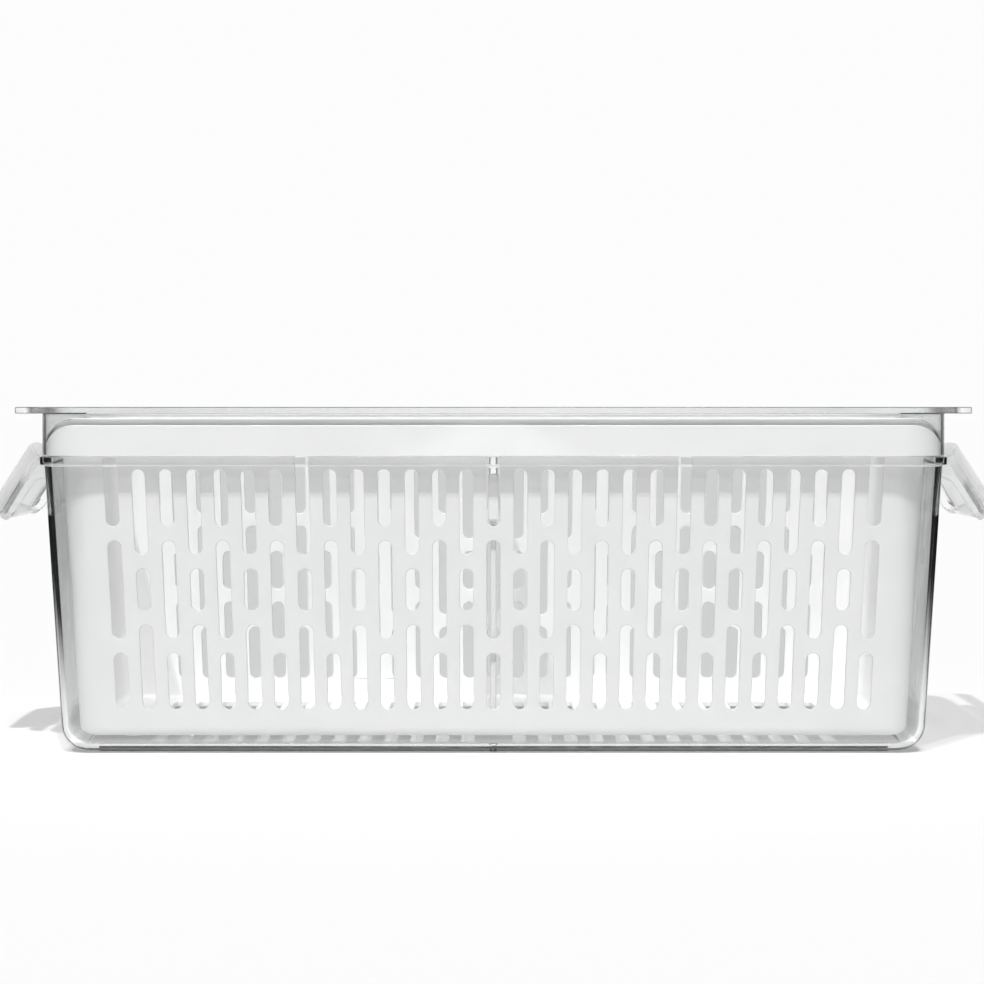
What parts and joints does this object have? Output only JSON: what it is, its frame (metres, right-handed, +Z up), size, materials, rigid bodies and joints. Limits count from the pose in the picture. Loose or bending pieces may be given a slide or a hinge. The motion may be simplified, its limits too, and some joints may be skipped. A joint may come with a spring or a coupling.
{
  "type": "produce keeper",
  "caption": "Long clear refrigerator bin with a bowed handle at each end, a white slotted basket that hangs inside, a removable divider and a deep clear lid.",
  "frame": {"origin": "middle of the bin's underside, on the surface that it stands on", "axes": "+X along the length, from handle to handle, to the right in the picture; -Y towards the viewer; +Z up"},
  "size_m": [0.3778, 0.1608, 0.1238],
  "materials": {
    "clear_bin": "clear, polished",
    "white_basket": "white, satin moulded",
    "white_divider": "white, satin moulded",
    "clear_lid": "clear, polished"
  },
  "bodies": {
    "bin": {"bin": "clear_bin"},
    "basket": {"basket": "white_basket"},
    "divider": {"divider": "white_divider"},
    "lid": {"lid": "clear_lid"}
  },
  "joints": [
    {"name": "basket_lift", "type": "slide", "parent": "bin", "child": "basket", "axis": [0, 0, 1], "range_m": [0, 0.12]},
    {"name": "divider_lift", "type": "slide", "parent": "basket", "child": "divider", "axis": [0, 0, 1], "range_m": [0, 0.12]},
    {"name": "lid_lift", "type": "slide", "parent": "divider", "child": "lid", "axis": [0, 0, 1], "range_m": [0, 0.08]}
  ]
}
